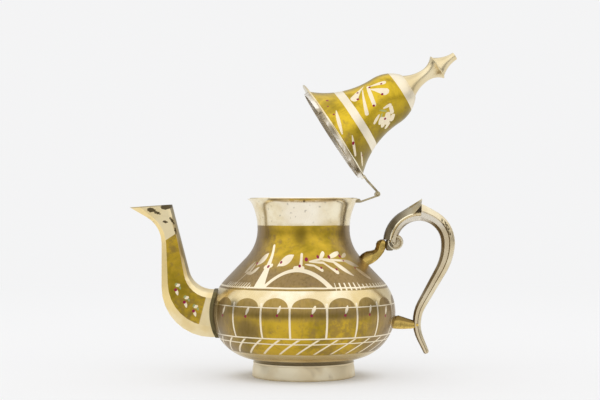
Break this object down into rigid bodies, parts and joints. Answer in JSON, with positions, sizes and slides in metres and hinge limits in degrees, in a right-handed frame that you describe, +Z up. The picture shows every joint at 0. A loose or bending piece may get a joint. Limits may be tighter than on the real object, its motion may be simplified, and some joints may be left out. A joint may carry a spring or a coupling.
{
  "type": "dallah coffee pot",
  "caption": "Silver-plated brass coffee pot with a squat belly, flared neck, gooseneck spout, loop handle and a tall bell-shaped lid that swings back on a rear hinge.",
  "frame": {"origin": "on the pot's upright axis, on the surface that the foot ring rests on", "axes": "+Z up along the pot's axis, +X from the axis towards the handle, so the spout is towards -X, and -Y towards the viewer of the picture"},
  "size_m": [0.2165, 0.1222, 0.2155],
  "materials": {
    "silver_plate": "worn silver plate over brass, softly polished with grey tarnish",
    "gold_lacquer": "cloudy gold lacquer over silver-plated brass with bright-cut traditional plant and arcade ornament",
    "bare_brass": "bare brass with brown tarnish",
    "dark_solder": "dark soldered joint",
    "pin_metal": "dull brass wire"
  },
  "bodies": {
    "pot": {"pot_bowl": "gold_lacquer", "pot_shoulder": "gold_lacquer", "foot_ring": "silver_plate", "spout_near_half": "gold_lacquer", "spout_far_half": "gold_lacquer", "spout_collar": "dark_solder", "pot_hinge_strap": "bare_brass", "hinge_pin": "pin_metal", "handle": "silver_plate", "thumb_leaf": "silver_plate", "upper_bracket": "bare_brass", "lower_bracket": "bare_brass", "upper_handle_pin": "pin_metal", "lower_handle_rivet": "pin_metal"},
    "lid": {"lid_flange": "silver_plate", "lid_bezel": "silver_plate", "lid_bell": "gold_lacquer", "finial": "silver_plate", "finial_stud": "bare_brass", "finial_washer": "bare_brass", "finial_nut": "bare_brass", "lid_hinge_strap": "bare_brass"}
  },
  "joints": [
    {"name": "lid_hinge", "type": "hinge", "parent": "pot", "child": "lid", "pos_m": [0.0491, 0, 0.1212], "axis": [0, 1, 0], "range_deg": [-57, 90]}
  ]
}
